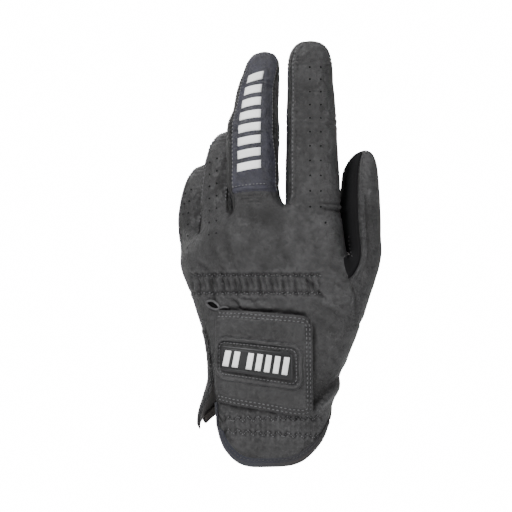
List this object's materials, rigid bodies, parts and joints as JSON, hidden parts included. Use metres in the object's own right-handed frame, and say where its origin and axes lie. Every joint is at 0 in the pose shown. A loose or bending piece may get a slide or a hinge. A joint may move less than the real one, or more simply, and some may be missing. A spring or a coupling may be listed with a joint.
{
  "type": "golf glove",
  "caption": "Left-hand golf glove with a curved closure tab, elastic wrist, bound cuff and separately seamed fingers, shaped as if worn.",
  "frame": {"origin": "centre of the wrist opening, level with the lowest point of the cuff's hem on the back", "axes": "+Z to the fingertips, -Y away from the back of the hand, +X to the thumb side"},
  "size_m": [0.1064, 0.098, 0.2213],
  "materials": {
    "back_leather": "fine-grained charcoal leather, satin",
    "palm_leather": "fine-grained charcoal leather, satin",
    "side_leather": "darker thin leather, satin",
    "navy_leather": "smooth dark navy leather, satin",
    "thumb_inner_leather": "matt black leather",
    "tab_leather": "fine-grained charcoal leather, satin",
    "badge_rubber": "soft moulded rubber, satin",
    "hook_and_loop": "matt nylon hook and loop",
    "elastic": "woven elastic",
    "binding_tape": "woven binding tape",
    "piping": "rolled leather piping"
  },
  "bodies": {
    "hand": {"back_panel": "back_leather", "palm_panel": "palm_leather", "web_pinky_ring": "side_leather", "web_ring_middle": "side_leather", "web_middle_index": "side_leather", "thumb_base_panel": "back_leather", "thumb_crotch_gusset": "thumb_inner_leather", "pinky_knuckle_bend": "back_leather", "ring_knuckle_bend": "back_leather", "middle_knuckle_bend": "back_leather", "index_knuckle_bend": "back_leather", "thumb_bend": "back_leather", "loop_patch": "hook_and_loop", "back_elastic": "elastic", "cuff_elastic_upper": "elastic", "cuff_elastic_lower": "elastic", "cuff_binding": "binding_tape", "palm_binding": "binding_tape", "slit_hem": "back_leather", "keyhole_piping": "piping"},
    "closure": {"closure_tab": "tab_leather", "tab_hook_patch": "hook_and_loop", "badge_plate": "badge_rubber", "badge_welt": "tab_leather"},
    "pinky_finger": {"pinky_back": "back_leather", "pinky_palm": "palm_leather", "pinky_side_to_ring": "side_leather"},
    "ring_finger": {"ring_back": "back_leather", "ring_palm": "palm_leather", "ring_side_to_middle": "side_leather", "ring_side_to_pinky": "side_leather"},
    "middle_finger": {"middle_back": "navy_leather", "middle_palm": "palm_leather", "middle_side_to_index": "side_leather", "middle_side_to_ring": "side_leather"},
    "index_finger": {"index_back": "back_leather", "index_palm": "palm_leather", "index_side_to_middle": "side_leather"},
    "thumb": {"thumb_outer": "back_leather", "thumb_inner": "thumb_inner_leather"}
  },
  "joints": [
    {"name": "tab_hinge", "type": "hinge", "parent": "hand", "child": "closure", "pos_m": [-0.03047, -0.01031, 0.0576], "axis": [-0.0139, -0.0678, -0.9976], "range_deg": [0, 110]},
    {"name": "index_flex", "type": "hinge", "parent": "hand", "child": "index_finger", "pos_m": [0.02166, -0.00883, 0.1442], "axis": [-1, 0, 0], "range_deg": [-4, 42], "stiffness_Nm_per_rad": 0.05, "deforming": ["index_knuckle_bend"]},
    {"name": "middle_flex", "type": "hinge", "parent": "hand", "child": "middle_finger", "pos_m": [-0.00866, -0.00712, 0.14484], "axis": [-1, 0, 0], "range_deg": [-24, 0], "stiffness_Nm_per_rad": 0.05, "deforming": ["middle_knuckle_bend"]},
    {"name": "ring_flex", "type": "hinge", "parent": "hand", "child": "ring_finger", "pos_m": [-0.02578, 0.0108, 0.13977], "axis": [-0.891, 0.454, 0], "range_deg": [0, 8], "stiffness_Nm_per_rad": 0.05, "deforming": ["ring_knuckle_bend"]},
    {"name": "pinky_flex", "type": "hinge", "parent": "hand", "child": "pinky_finger", "pos_m": [-0.03864, 0.0293, 0.12963], "axis": [-0.866, 0.5, 0], "range_deg": [0, 8], "stiffness_Nm_per_rad": 0.05, "deforming": ["pinky_knuckle_bend"]},
    {"name": "thumb_spread", "type": "hinge", "parent": "hand", "child": "thumb", "pos_m": [0.04845, 0.0027, 0.11195], "axis": [0, 1, 0], "range_deg": [0, 25], "stiffness_Nm_per_rad": 0.05, "deforming": ["thumb_bend"]}
  ],
  "couplings": [
    {"joint": "pinky_flex", "follows": "ring_flex", "ratio": 1}
  ]
}
